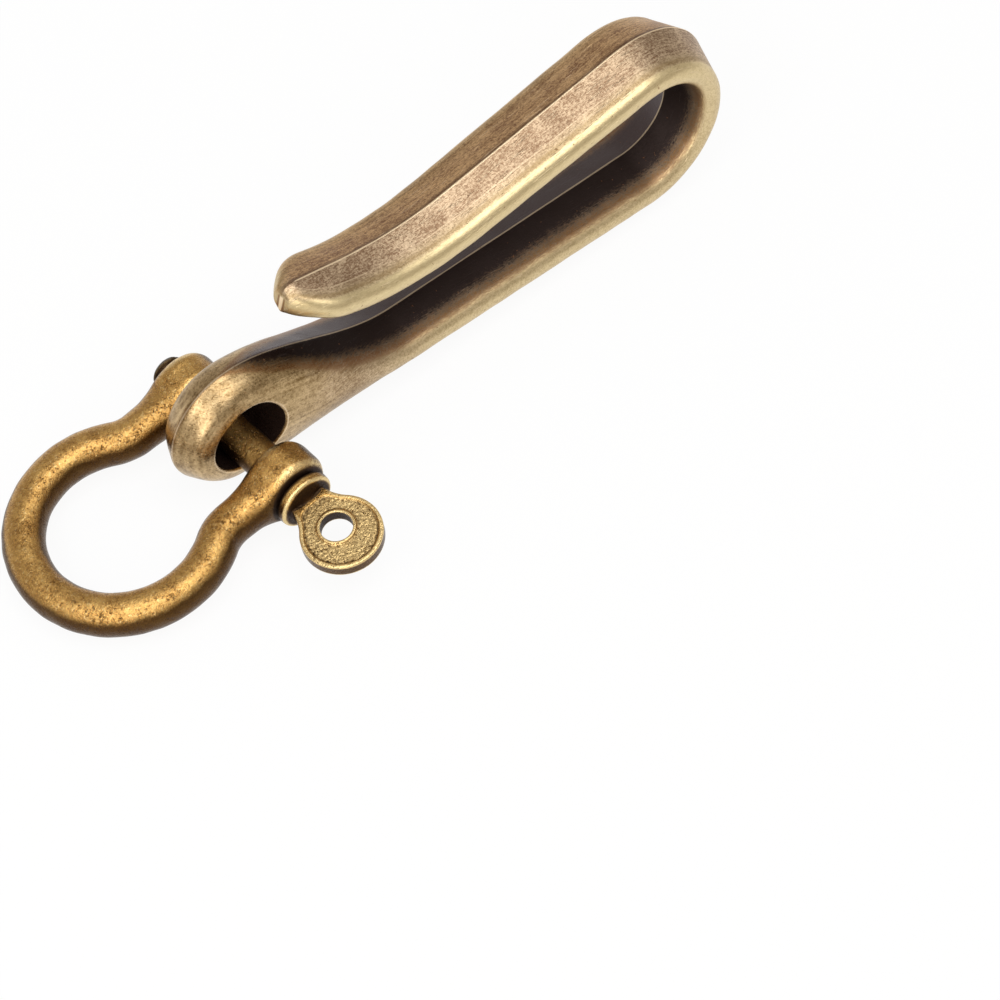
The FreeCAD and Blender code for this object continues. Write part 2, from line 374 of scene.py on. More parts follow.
# %% [markdown]
# ## The eye of the hook
# At the other end the bar swells into a ring with a plain bore for the pin. A boolean could drill the bore,
# but it leaves long thin faces that shade badly on a curved side. A fan of rays about the bore fits better:
# each ray climbs the bore's wall, rolls over its worn rim, crosses the side face and ends on the ridge of
# the ring, or on the first section of the strip, so that both meshes meet point to point.

# %% Rays about the bore
rim_round = 0.32
wall_rows = 4
rim_rows = 6
face_rows = 34
crest_rays = 150
table_rows = 44
table_columns = 900
side_samples = 500
ray_steps = 12000
face_crowding = 1.4

table_reach = np.linspace(0, join_reach, table_rows)
table_share = np.linspace(0, 1, table_columns)
table_ridge = np.zeros(table_rows)
table_breadth = np.zeros((table_rows, table_columns))
for row, reach in enumerate(table_reach):
    half = section(*neck(reach)[1:], *eye_softness)[:half_points // 2 + 1][::-1]
    table_ridge[row] = half[-1, 1]
    table_breadth[row] = np.interp(table_share * table_ridge[row], half[:, 1], half[:, 0])


def eye_height(x, z):
    """Height over the middle line in the side view: round the bore behind it, up and down along the neck."""
    return np.where(x < 0, np.hypot(x, z), np.abs(z - neck(x)[0]))


def eye_breadth(x, z):
    """Half breadth of the eye and neck at a place in the side view."""
    share = np.clip(eye_height(x, z) / np.interp(x, table_reach, table_ridge), 0, 1)
    column = share * (table_columns - 1)
    row = np.clip(x / join_reach, 0, 1) * (table_rows - 1)
    left = np.minimum(column.astype(int), table_columns - 2)
    top = np.minimum(row.astype(int), table_rows - 2)
    upper = mix(table_breadth[top, left], table_breadth[top, left + 1], column - left)
    lower = mix(table_breadth[top + 1, left], table_breadth[top + 1, left + 1], column - left)
    return mix(upper, lower, row - top)


def ray_end(angle):
    """How far a ray goes before it reaches the ridge."""
    reach = np.linspace(eye_bore_radius, 2 * eye_ring_radius, ray_steps)
    x = reach * math.cos(angle)
    beyond = eye_height(x, reach * math.sin(angle)) >= np.interp(x, table_reach, table_ridge)
    return reach[np.argmax(beyond)]


def eye_ray(angle, end, end_breadth):
    """Points (reach, breadth) from the middle of the bore's wall to the end of the ray."""
    start = eye_bore_radius + rim_round
    reach = mix(start, end, 1 - (1 - np.linspace(0, 1, side_samples)) ** 2)
    breadth = eye_breadth(reach * math.cos(angle), reach * math.sin(angle))
    breadth[-1] = end_breadth
    turn = np.linspace(0, math.pi / 2, rim_rows, endpoint=False)
    rim = np.column_stack((start - rim_round * np.cos(turn), breadth[0] - rim_round * (1 - np.sin(turn))))
    climb = np.linspace(0, rim[0, 1], wall_rows, endpoint=False)
    wall = np.column_stack((np.full(wall_rows, eye_bore_radius), climb))
    shares = 1 - (1 - np.linspace(0, 1, face_rows)) ** face_crowding
    return np.vstack((wall, rim, respaced(np.column_stack((reach, breadth)), shares)))


join_half = halves[0]
join_height = neck(join_reach)[0] - join_half[:, 1]
join_angles = np.arctan2(join_height, join_reach)
crest_angles = np.linspace(join_angles[-1], join_angles[0] + 2 * math.pi, crest_rays + 2)[1:-1]
rays = [eye_ray(a, join_reach / math.cos(a), b) for a, b in zip(join_angles, join_half[:, 0])]
rays += [eye_ray(a, ray_end(a), 0.0) for a in crest_angles]
ray_angles = np.concatenate((join_angles, crest_angles))
fan = np.array(rays)
print("the eye has", fan.shape[0], "rays of", fan.shape[1], "points")

# %% Join eye and strip
bore_shade_rim_rows = 2
glint_rows = 1.3

fan_x = fan[:, :, 0] * np.cos(ray_angles)[:, None]
fan_z = fan[:, :, 0] * np.sin(ray_angles)[:, None]
near_points = np.stack((fan_x, fan[:, :, 1], fan_z), axis=-1).reshape(-1, 3)
far_points = near_points * (1, -1, 1)

along, side, height = near_points.T
middle, ridge, edge, _, flat = neck(along)
join_around = strip_marks(join_half, stations[0][2], join_reach)[:, 0]
scaled = (height - middle) * join_half[0, 1] / ridge + neck(join_reach)[0]
row = np.tile(np.arange(fan.shape[1]), fan.shape[0])
# The bore's wall and first rim rows take the bore's painted shade.
bore = row < wall_rows + bore_shade_rim_rows
rim_glint = bell(row - wall_rows - rim_rows + 1, glint_rows)
eye_notes = np.column_stack((
    along,
    np.interp(scaled, join_height, join_around),
    side - flat,
    shade(along, side, middle - height, edge, flat),
    np.maximum(bell(side, crest_width), rim_glint),
    bore,
))
eye_notes[bore, 4] = 0


def welded(points, notes, faces, nearness=0.003):
    """Points that lie on each other made one, with the faces that lose their area left out."""
    _, kept, place = np.unique(np.round(points / nearness), axis=0, return_index=True, return_inverse=True)
    place = place.ravel()
    merged = []
    for face in faces:
        corners = list(dict.fromkeys(place[list(face)].tolist()))
        if len(corners) > 2:
            merged.append(corners)
    return points[kept], notes[kept], merged


eye_faces = grid_faces(fan.shape[1], fan.shape[0])
turned = np.arange(fan.shape[0] * fan.shape[1]).reshape(fan.shape[:2]).T.ravel()
eye_faces = turned[eye_faces]
strip_count = len(stations) * ring_size
hook_points = np.vstack((*strip_points, near_points, far_points))
hook_notes = np.vstack((*strip_notes, eye_notes, eye_notes))
hook_faces = [*strip_faces.tolist(), *keel_faces, *(eye_faces + strip_count).tolist()]
hook_faces += (eye_faces[:, ::-1] + strip_count + len(near_points)).tolist()
hook_points, hook_notes, hook_faces = welded(hook_points, hook_notes, hook_faces)
print("hook", len(hook_points), "points,", len(hook_faces), "faces")

# %% [markdown]
# ## From points to a piece
# Every piece becomes one plain mesh at the origin, with its place in its points, as the CAD nodes are.
# Normals are made to point outwards, and the marks for the finish are stored as point attributes, which a
# material reads by name. A cast skin is never dead flat, so each point is pushed in or out by a few
# hundredths of a millimetre of smooth noise: too little to measure, enough to make reflections wander.

# %% Make the hook
hook_marks = ("along", "around", "bead", "inner", "crest", "bore")
dent_size = 2.4
dent_depth = 0.035


def put(name, data):
    """A new object of this mesh, lamp or camera, in the scene."""
    thing = bpy.data.objects.new(name, data)
    bpy.context.scene.collection.objects.link(thing)
    return thing


def make_piece(name, points, faces, marks):
    """A smooth-shaded mesh object with its marks as point attributes."""
    mesh = bpy.data.meshes.new(name)
    mesh.from_pydata(points, [], faces)
    shell = bmesh.new()
    shell.from_mesh(mesh)
    bmesh.ops.recalc_face_normals(shell, faces=shell.faces)
    open_edges = sum(not edge.is_manifold for edge in shell.edges)
    shell.to_mesh(mesh)
    shell.free()
    mesh.shade_smooth()
    for mark, values in marks.items():
        mesh.attributes.new(mark, "FLOAT", "POINT").data.foreach_set("value", values.astype(np.float32))
    print(name, len(mesh.polygons), "faces, open edges", open_edges)
    return put(name, mesh)


def mesh_points(mesh):
    points = np.zeros(3 * len(mesh.vertices), np.float32)
    mesh.vertices.foreach_get("co", points)
    return points.reshape(-1, 3).astype(float)


def mesh_normals(mesh):
    normals = np.zeros(3 * len(mesh.vertices), np.float32)
    mesh.vertex_normals.foreach_get("vector", normals)
    return normals.reshape(-1, 3).astype(float)


def cast_skin(piece, size, depth):
    """Push every point in or out by smooth noise of this size and depth (mm)."""
    points = mesh_points(piece.data)
    waves = [noise.noise(Vector(point / (size * MM))) for point in points]
    moved = points + mesh_normals(piece.data) * np.array(waves)[:, None] * depth * MM
    piece.data.vertices.foreach_set("co", moved.astype(np.float32).ravel())
    piece.data.update()


hook_piece = make_piece(
    "brass_hook",
    lay(hook_points, hook_dip, bore_centre),
    hook_faces,
    dict(zip(hook_marks, hook_notes.T)),
)
cast_skin(hook_piece, dent_size, dent_depth)

# %% [markdown]
# ## A bench for node trees
# Geometry Nodes and materials are both trees of nodes, and both get long when every node and link takes its
# own lines. So one small class stands for a tree, with one method that adds a node: its type, its settings,
# then what goes into its sockets. A second class stands for one output and overloads the operators, so that
# a sum or a product of values is written as Python and still becomes Math nodes.

# %% Bench and wire


class Wire:
    """One output of a node. Arithmetic on it adds Math nodes to the same tree."""

    def __init__(self, bench, socket):
        self.bench = bench
        self.socket = socket

    def of(self, operation, *others):
        return self.bench.math(operation, self, *others)

    def __add__(self, other):
        return self.of("ADD", other)

    def __radd__(self, other):
        return self.bench.math("ADD", other, self)

    def __sub__(self, other):
        return self.of("SUBTRACT", other)

    def __rsub__(self, other):
        return self.bench.math("SUBTRACT", other, self)

    def __mul__(self, other):
        return self.of("MULTIPLY", other)

    def __rmul__(self, other):
        return self.bench.math("MULTIPLY", other, self)

    def __truediv__(self, other):
        return self.of("DIVIDE", other)

    def __neg__(self):
        return self.of("MULTIPLY", -1.0)

    def __abs__(self):
        return self.of("ABSOLUTE")


class Bench:
    """A node tree with one way to add a node: its type, its settings, then its sockets."""

    def __init__(self, tree):
        self.tree = tree

    def node(self, kind, settings=None, sockets=None, out=0):
        made = self.tree.nodes.new(kind)
        for name, value in (settings or {}).items():
            setattr(made, name, value)
        for key, value in (sockets or {}).items():
            if isinstance(value, Wire):
                self.tree.links.new(value.socket, made.inputs[key])
            else:
                made.inputs[key].default_value = value
        return Wire(self, made.outputs[out]) if len(made.outputs) else None

    def math(self, operation, *values):
        return self.node("ShaderNodeMath", {"operation": operation}, dict(enumerate(values)))

    def step(self, value, low, high):
        """0 below low, 1 above high and a soft step between; low may be the higher one."""
        sockets = {"Value": value, "From Min": low, "From Max": high}
        return self.node("ShaderNodeMapRange", {"interpolation_type": "SMOOTHSTEP"}, sockets)

    def axes(self, vector):
        """The three parts of a vector."""
        return [self.node("ShaderNodeSeparateXYZ", {}, {0: vector}, out=axis) for axis in "XYZ"]

    def tint(self, share, first, second):
        """The first colour with this share of the second one."""
        return self.node("ShaderNodeMix", {"data_type": "RGBA"}, {0: share, 6: first, 7: second}, out=2)


def cleared(owner):
    """The empty node tree of a material or a world."""
    owner.use_nodes = True
    owner.node_tree.nodes.clear()
    return owner.node_tree


print("bench ready")

# %% [markdown]
# ## Bodies from distances
# Bow and pin are cast with fat fillets where their parts meet. Sweeps and booleans would leave hard seams
# there, so both are made as a sculptor presses clay together: Geometry Nodes fill a box with fine cells,
# work out in each how far it lies from the bar, the eyes or the collar, and join these distances with a
# smooth minimum, whose size is the fillet. Volume to Mesh then draws the skin where the distance is nought.

# %% Rules for distance


def joined(first, second, fillet):
    """The distance to two bodies made one, with a fillet of about this size between them."""
    return first.of("SMOOTH_MIN", second, fillet)


def common(first, second, rounding):
    """The distance to what two bodies share, with edges rounded by about this size."""
    return first.of("SMOOTH_MAX", second, rounding)


def far(first, second):
    """The long side of a right-angled triangle."""
    return (first * first + second * second).of("SQRT")


def plate(outline, level, half_thickness, rounding):
    """The distance to a plate: outline is the distance in its plane, level the height over its middle."""
    beside = outline + rounding
    above = abs(level) - (half_thickness - rounding)
    outside = far(beside.of("MAXIMUM", 0.0), above.of("MAXIMUM", 0.0))
    return outside + beside.of("MAXIMUM", above).of("MINIMUM", 0.0) - rounding


def field_rule(name, sizes, low, high, voxel, shape):
    """A Geometry Nodes tree that skins, inside this box (mm), the body whose distance shape() works out."""
    tree = bpy.data.node_groups.new(name, "GeometryNodeTree")
    tree.interface.new_socket(name="Geometry", in_out="INPUT", socket_type="NodeSocketGeometry")
    for key in sizes:
        tree.interface.new_socket(name=key, in_out="INPUT", socket_type="NodeSocketFloat")
    tree.interface.new_socket(name="Finish", in_out="INPUT", socket_type="NodeSocketMaterial")
    tree.interface.new_socket(name="Geometry", in_out="OUTPUT", socket_type="NodeSocketGeometry")
    bench = Bench(tree)
    size = {key: bench.node("NodeGroupInput", out=key) for key in ("Geometry", "Finish", *sizes)}
    place = bench.node("GeometryNodeInputPosition")
    distance, sunk = shape(bench, size, place, *bench.axes(place))
    cells = [math.ceil((end - start) / voxel) for start, end in zip(low, high)]
    cloud = bench.node("GeometryNodeVolumeCube", {}, {
        "Density": 1 - distance,
        "Min": low,
        "Max": high,
        "Resolution X": cells[0],
        "Resolution Y": cells[1],
        "Resolution Z": cells[2],
    })
    level = {"Volume": cloud, "Threshold": 1.0}
    skin = bench.node("GeometryNodeVolumeToMesh", {"resolution_mode": "GRID"}, level)
    note = {"Geometry": skin, "Name": "sunk", "Value": sunk}
    noted = bench.node("GeometryNodeStoreNamedAttribute", {"data_type": "FLOAT", "domain": "POINT"}, note)
    real = bench.node("GeometryNodeRealizeInstances", {}, {"Geometry": noted})
    dressed = bench.node("GeometryNodeSetMaterial", {}, {"Geometry": real, "Material": size["Finish"]})
    bench.node("NodeGroupOutput", {}, {"Geometry": dressed})
    return tree


def grown(name, mesh, tree, values, finish, smoothing):
    """The plain mesh (mm) that a rule grows from a start mesh, with its voxel steps smoothed away."""
    seed = put(name, mesh)
    rule = seed.modifiers.new("rule", "NODES")
    rule.node_group = tree
    for item in tree.interface.items_tree:
        if item.in_out == "INPUT" and item.name in values:
            rule[item.identifier] = values[item.name]
        if item.in_out == "INPUT" and item.name == "Finish":
            rule[item.identifier] = finish
    soften = seed.modifiers.new("soften", "SMOOTH")
    soften.factor = 0.5
    soften.iterations = smoothing
    depsgraph = bpy.context.evaluated_depsgraph_get()
    made = bpy.data.meshes.new_from_object(seed.evaluated_get(depsgraph))
    bpy.data.objects.remove(seed)
    return made


shackle_finish = bpy.data.materials.new("shackle_brass_finish")
print("rules for distance ready")

# %% [markdown]
# ## The shackle's bow
# The bow is a round bar bent to an omega, with a drilled eye at each end. Its path is drawn first, as a line
# of points: the nearest place on that line gives the bar. The eyes are thick rounded discs on the pin's
# line. A broad fillet runs each leg into its eye, the eyes' cheeks are cut flat, and a bore takes the pin.

# %% Path of the bow
bow_neck_radius = 5.0
leg_half_spacing = 7.45
leg_root_reach = 2.6
path_spacing = 0.35


def arc_points(centre, radius, first, last):
    """Points along an arc (angles in radians), both ends included."""
    count = max(2, math.ceil(abs(last - first) * radius / path_spacing) + 1)
    turn = np.linspace(first, last, count)
    return np.array(centre) + radius * np.column_stack((np.cos(turn), np.sin(turn)))


def bow_path():
    """The omega in its own plane (x, y), from one leg's root round the crown to the other's."""
    touch_reach = math.sqrt((bow_radius + bow_neck_radius) ** 2 - (leg_half_spacing + bow_neck_radius) ** 2)
    leg_length = bow_centre_reach - touch_reach
    blend_centre = np.array((-leg_length, leg_half_spacing + bow_neck_radius))
    lean = math.atan2(leg_half_spacing + bow_neck_radius, touch_reach)
    root = np.array([(-leg_root_reach, leg_half_spacing)])
    blend = arc_points(blend_centre, bow_neck_radius, -math.pi / 2, lean - math.pi)
    crown = arc_points((-bow_centre_reach, 0), bow_radius, lean, math.pi)
    half = np.vstack((root, blend, crown[1:]))
    return np.vstack((half, half[-2::-1] * (1, -1))), leg_length


path, leg_length = bow_path()
path_mesh = bpy.data.meshes.new("bow_path")
path_edges = [(k, k + 1) for k in range(len(path) - 1)]
path_mesh.from_pydata(np.column_stack((path, np.zeros(len(path)))), path_edges, [])
print("bow path", len(path), "points, leg", round(leg_length, 2), "mm")

# %% Bow from distances
bow_sizes = {
    "Bar Radius": bar_radius,
    "Root Radius": 2.35,
    "Leg Spacing": leg_half_spacing,
    "Eye Radius": 3.8,
    "Eye Thickness": 4.8,
    "Eye Round": 1.5,
    "Bore Radius": 2.2,
    "Fillet": 2.2,
    "Cheek Round": 0.5,
    "Bore Round": 0.3,
}
bow_eye_thickness = bow_sizes["Eye Thickness"]
bow_voxel = 0.15
bow_smoothing = 3
bow_low = (-27.6, -12.9, -4.4)
bow_high = (4.4, 12.9, 4.4)


def bow_shape(bench, size, place, x, y, z):
    nearest = {"Geometry": size["Geometry"]}
    from_path = bench.node("GeometryNodeProximity", {"target_element": "EDGES"}, nearest, out="Distance")
    down_leg = bench.step(x, -leg_length, -leg_root_reach)
    bar = from_path - size["Bar Radius"] - (size["Root Radius"] - size["Bar Radius"]) * down_leg
    from_line = far(x, z)
    off_middle = abs(y) - size["Leg Spacing"]
    half_eye = size["Eye Thickness"] / 2
    eye = plate(from_line - size["Eye Radius"], off_middle, half_eye, size["Eye Round"])
    cheeks = abs(off_middle) - half_eye + (x + size["Eye Radius"]).of("MINIMUM", 0.0)
    body = common(joined(bar, eye, size["Fillet"]), cheeks, size["Cheek Round"])
    return common(body, size["Bore Radius"] - from_line, size["Bore Round"]), 0.0


bow_tree = field_rule("bow_from_distances", bow_sizes, bow_low, bow_high, bow_voxel, bow_shape)
bow_mesh = grown("bow_seed", path_mesh, bow_tree, bow_sizes, shackle_finish, bow_smoothing)
print("bow", len(bow_mesh.vertices), "points")

# %% [markdown]
# ## The screw pin
# The pin has a plain shank, a collar that stops it on the bow, a threaded end and a flat tab for the thumb.
# Everything round is a distance from the pin's line. The thread is the same distance less a groove that goes
# up and down along the pin and turns once round it for each pitch. The tab is a plate with a paddle-shaped
# outline; its faces are sunk inside their rims, with the coarse grain of a sand casting. A short cone runs
# from the tab to the collar, and the recess ends in an arch before it.

# %% Pin from distances
pin_sizes = {
    "Shank Radius": shank_radius,
    "Thread Radius": 1.9,
    "Thread Depth": 0.36,
    "Thread Pitch": 0.75,
    "Thread Chamfer": 0.4,
    "Collar Radius": 3.1,
    "Collar Thickness": 1.2,
    "Collar Round": 0.4,
    "Tab Thickness": 1.5,
    "Tab End Radius": 4.2,
    "Flank Radius": 5.0,
    "Root Radius": 1.4,
    "Hole Radius": 1.65,
    "Rim Width": 0.5,
    "Hole Rim Width": 0.36,
    "Recess Depth": 0.2,
    "Grain Depth": 0.14,
    "Shank Round": 0.2,
    "Thread Round": 0.1,
    "Chamfer Round": 0.15,
    "Root Round": 0.1,
    "Rim Round": 0.1,
    "Arch Round": 1.4,
    "Tab Round": 0.2,
    "Hole Round": 0.12,
    "Thread Fillet": 0.1,
    "Root Fillet": 0.5,
    "Collar Fillet": 0.15,
    "Tab Fillet": 0.22,
}
thread_run_in = 0.6
thread_stand_out = 1.5
collar_seat_gap = 0.05
tab_end_reach = 5.2
tab_hole_reach = 4.45
tab_neck_half_width = 1.95
tab_root_length = 0.35
tab_recess_start = 0.8
recess_slope = 0.22
recess_grain = 0.3
cone_scale = 0.6
pin_voxel = 0.085
pin_smoothing = 1

seat = -(leg_half_spacing + bow_eye_thickness / 2 + collar_seat_gap)
collar_face = seat - pin_sizes["Collar Thickness"]
thread_start = leg_half_spacing - bow_eye_thickness / 2 - thread_run_in
thread_end = leg_half_spacing + bow_eye_thickness / 2 + thread_stand_out
tab_end_y = collar_face - tab_end_reach
tab_hole_y = collar_face - tab_hole_reach
flank_x = tab_neck_half_width + pin_sizes["Flank Radius"]
flank_reach = math.sqrt((pin_sizes["Tab End Radius"] + pin_sizes["Flank Radius"]) ** 2 - flank_x ** 2)
pin_low = (-4.6, tab_end_y - 4.6, -3.4)
pin_high = (4.6, thread_end + 0.4, 3.4)


def pin_shape(bench, size, place, x, y, z):
    from_line = far(x, z)
    shank_half = (thread_start - seat) / 2
    shank_level = y - (thread_start + seat) / 2
    shank = plate(from_line - size["Shank Radius"], shank_level, shank_half, size["Shank Round"])
    turn = x.of("ARCTAN2", z) / (2 * math.pi)
    groove = abs(2 * (y / size["Thread Pitch"] + turn).of("FRACT") - 1) * size["Thread Depth"]
    thread_half = (thread_end - thread_start) / 2
    ends = abs(y - (thread_end + thread_start) / 2) - thread_half
    cone = from_line + y - (size["Thread Radius"] - size["Thread Chamfer"] + thread_end)
    thread = common(from_line - size["Thread Radius"] + groove, ends, size["Thread Round"])
    thread = common(thread, cone, size["Chamfer Round"])
    collar_half = size["Collar Thickness"] / 2
    collar_middle = y - (seat + collar_face) / 2
    collar = plate(from_line - size["Collar Radius"], collar_middle, collar_half, size["Collar Round"])
    root_slope = (size["Root Radius"] - size["Tab Thickness"] / 2) / tab_root_length
    root = (from_line - size["Root Radius"] - (y - collar_face) * root_slope) * cone_scale
    root = common(root, collar_middle, size["Root Round"])

    end = far(x, y - tab_end_y) - size["Tab End Radius"]
    flank = size["Flank Radius"] - far(abs(x) - flank_x, y - (tab_end_y + flank_reach))
    past_end = ((y - tab_end_y) * flank_x).of("GREATER_THAN", abs(x) * flank_reach)
    outline = end + (flank - end) * past_end
    hole = far(x, y - tab_hole_y) - size["Hole Radius"]
    inside = joined(-outline - size["Rim Width"], hole - size["Hole Rim Width"], size["Rim Round"])
    inside = joined(inside, collar_face - tab_recess_start - y, size["Arch Round"])
    sunk = bench.step(inside, -recess_slope / 2, recess_slope / 2)
    grain = bench.node("ShaderNodeTexNoise", {}, {"Vector": place, "Scale": 1 / recess_grain, "Detail": 1.0})
    level = abs(z) + sunk * (size["Recess Depth"] + size["Grain Depth"] * (grain - 0.5))
    tab = plate(outline.of("MAXIMUM", collar_middle), level, size["Tab Thickness"] / 2, size["Tab Round"])
    tab = common(tab, -hole, size["Hole Round"])

    screw = joined(shank, thread, size["Thread Fillet"])
    turned = joined(screw, joined(collar, root, size["Root Fillet"]), size["Collar Fillet"])
    return joined(turned, tab, size["Tab Fillet"]), sunk


pin_tree = field_rule("pin_from_distances", pin_sizes, pin_low, pin_high, pin_voxel, pin_shape)
pin_start = bpy.data.meshes.new("pin_start")
pin_mesh = grown("pin_seed", pin_start, pin_tree, pin_sizes, shackle_finish, pin_smoothing)
print("pin", len(pin_mesh.vertices), "points")
print("thread from", round(thread_start, 2), "to", round(thread_end, 2), "mm")

# %% [markdown]
# ## Worn edges and dark hollows
# On old brass, hands polish what stands proud and dirt stays in what lies deep; here the near black of the
# hollows is partly that dirt and partly painted shade. Cycles can find edges while it renders, but that is
# lost when the model is exported. Measured on the mesh it stays: each point is compared with its smoothed
# surroundings. A point above them is an edge, a point below them a hollow.

# %% Measure wear on bow and pin
depth_rounds = 4


def smoothed(values, edges, count, rounds):
    """Values on a mesh's points, averaged with their neighbours this many times."""
    neighbours = np.bincount(edges.ravel(), minlength=count)
    for _ in range(rounds):
        values = np.column_stack([
            np.bincount(edges[:, 0], column[edges[:, 1]], count)
            + np.bincount(edges[:, 1], column[edges[:, 0]], count)
            for column in values.T
        ]) / neighbours[:, None]
    return values


def hollow_depth(mesh, rounds):
    """How far each point lies under (+) or over (-) its smoothed surroundings, in mm."""
    edges = np.zeros(2 * len(mesh.edges), np.int32)
    mesh.edges.foreach_get("vertices", edges)
    edges = edges.reshape(-1, 2)
    points = mesh_points(mesh)
    gap = smoothed(points, edges, len(points), rounds) - points
    depth = (gap * mesh_normals(mesh)).sum(axis=1)
    return smoothed(depth[:, None], edges, len(points), depth_rounds)[:, 0]


bow_depth = hollow_depth(bow_mesh, rounds=40)
pin_depth = hollow_depth(pin_mesh, rounds=20)
print("bow hollows", np.percentile(bow_depth, (2, 50, 98)).round(4))
print("pin hollows", np.percentile(pin_depth, (2, 50, 98)).round(4))

# %% [markdown]
# ## Shade and dark places that the mesh can't tell of
# Some dark places are no hollows of one mesh: the gap where the collar sits on the bow and the wall of the
# tab's hole, which take a painted shade, and the tab's neck, the shank between the eyes and the end of the
# thread, which are painted darker. Ambient occlusion could be baked for them, but the sizes say just as well
# where they are, and such marks are quickly moved.

# %% Shade joints, darken shank and thread end
seat_zone = 0.5
seat_fade = 0.6
neck_zone = 0.3
neck_inset = 0.05
neck_radius = 2.75
edge_fade = 0.2
hole_wall_inset = 0.1
hole_wall_fade = 0.15
arch_start = 1.6
arch_fade = 1.2
arch_half_width = 2.4
shank_fade = 0.5
shank_margin = 0.1
pin_end_fade = 0.3
neck_darkening = 0.75
hole_wall_shade = 0.85
shank_darkening = 0.3
end_darkening = 0.75
arch_darkening = 0.4


def joint_shade(x, y, z, from_line):
    """Painted shade in the gap where the collar sits on the bow and on the wall of the tab's hole, and a
    darker ring at the tab's neck.
    """
    seat_edge = pin_sizes["Collar Radius"] + seat_fade - from_line
    at_seat = bell(y - seat, seat_zone) * ease(seat_edge / seat_fade)
    at_neck = bell(y - collar_face + neck_inset, neck_zone) * ease((neck_radius - from_line) / edge_fade)
    hole_edge = pin_sizes["Hole Radius"] + edge_fade - np.hypot(x, y - tab_hole_y)
    wall_edge = pin_sizes["Tab Thickness"] / 2 - hole_wall_inset - np.abs(z)
    on_hole_wall = ease(hole_edge / edge_fade) * ease(wall_edge / hole_wall_fade)
    # The seat and the hole's wall take a painted shade; the neck is only painted darker.
    return np.max((at_seat, neck_darkening * at_neck, hole_wall_shade * on_hole_wall), axis=0)


def shank_and_end_darkening(y, from_line):
    """The shank between the eyes, and the end of the thread past its eye."""
    between_eyes = leg_half_spacing - bow_eye_thickness / 2 - np.abs(y)
    on_shank = ease(between_eyes / shank_fade) * (from_line < shank_radius + shank_margin)
    past_eye = y - thread_end + thread_stand_out
    on_end = ease(past_eye / pin_end_fade) * (from_line < shank_radius)
    return np.maximum(shank_darkening * on_shank, end_darkening * on_end)


def arch_shade(x, y):
    """The brown of the tab's sunk face towards the collar."""
    past_hole = ease((y - tab_hole_y - arch_start) / arch_fade)
    before_collar = ease((collar_face - y) / edge_fade)
    return arch_darkening * past_hole * before_collar * (np.abs(x) < arch_half_width)


print("collar seats at", round(seat, 2), "and the tab starts at", round(collar_face, 2), "mm")

# %% Make bow and pin
# How far from facing up or down a point must turn before its flank is painted dark, a painted shade.
flank_shade_start = 0.95
flank_shade_span = 0.6


def shackle_marks(mesh, depth, wear_span, hollow_span, flank_shade_share):
    """Wear, hollow, sunk and flank of each point; the painted shade of joints and the darker shank, thread
    end and arch count as hollows too.
    """
    x, y, z = mesh_points(mesh).T
    from_line = np.hypot(x, z)
    over = np.median(depth) - depth
    joint = joint_shade(x, y, z, from_line)
    sunk = np.zeros(len(x), np.float32)
    mesh.attributes["sunk"].data.foreach_get("value", sunk)
    # Points under their surroundings mark hollows, whose near black is patina and painted shade.
    low = ease(-over / hollow_span)
    # Joints, shank, thread end and arch join the hollows for their painted darkness.
    hollow = np.max((low, joint, shank_and_end_darkening(y, from_line), arch_shade(x, y) * sunk), axis=0)
    # How far each point faces sideways; the finish paints such flanks dark from it, a painted shade.
    flank = ease((flank_shade_start - np.abs(mesh_normals(mesh)[:, 2])) / flank_shade_span)
    wear = ease(over / wear_span) * (1 - joint)
    return {"wear": wear, "hollow": hollow, "sunk": sunk, "flank": flank * flank_shade_share}


def shackle_piece(name, mesh, marks):
    faces = [list(face.vertices) for face in mesh.polygons]
    return make_piece(name, lay(mesh_points(mesh), bow_slope, pin_axis), faces, marks)


bow_marks = shackle_marks(bow_mesh, bow_depth, wear_span=0.1, hollow_span=0.16, flank_shade_share=1.0)
pin_marks = shackle_marks(pin_mesh, pin_depth, wear_span=0.06, hollow_span=0.08, flank_shade_share=0.85)
bow_piece = shackle_piece("brass_bow", bow_mesh, bow_marks)
pin_piece = shackle_piece("brass_pin", pin_mesh, pin_marks)
cast_skin(bow_piece, size=1.5, depth=0.04)

# %% [markdown]
# ## The hook's finish
# The hook is cast brass with an antique finish: a brown patina is put on all over, then buffed off where the
# hand or the wheel reaches. So the beads of its edges and its nose are pale polished gold, the roofs are a
# speckled tan, the ridges are thin bright lines, and the inner faces stay almost black behind a rusty
# border.
# Painted shade is laid on too: browner far roofs with a dark band by the far ridge, duller far beads with an
# olive band at each bead's border, part of the inner faces' black and the dark of the bore. The far inner
# slope is greyer, a painted reflection of the sky, and a pale facet on the nose's keel is a painted
# highlight.
# A painted image could show all this, but only at one resolution. Here the marks on the mesh say where each
# belongs, and noise breaks up every border.

# %% Colours and a finish to start from


def paint(red, green, blue):
    """A colour as it looks on a screen (0 to 255), in the linear light that shaders use."""
    shares = [value / 255 for value in (red, green, blue)]
    return (*[s / 12.92 if s <= 0.04045 else ((s + 0.055) / 1.055) ** 2.4 for s in shares], 1.0)


def sway(pattern, strength):
    """A noise that lies about nought instead of about a half, at this strength."""
    return strength * (pattern - 0.5)


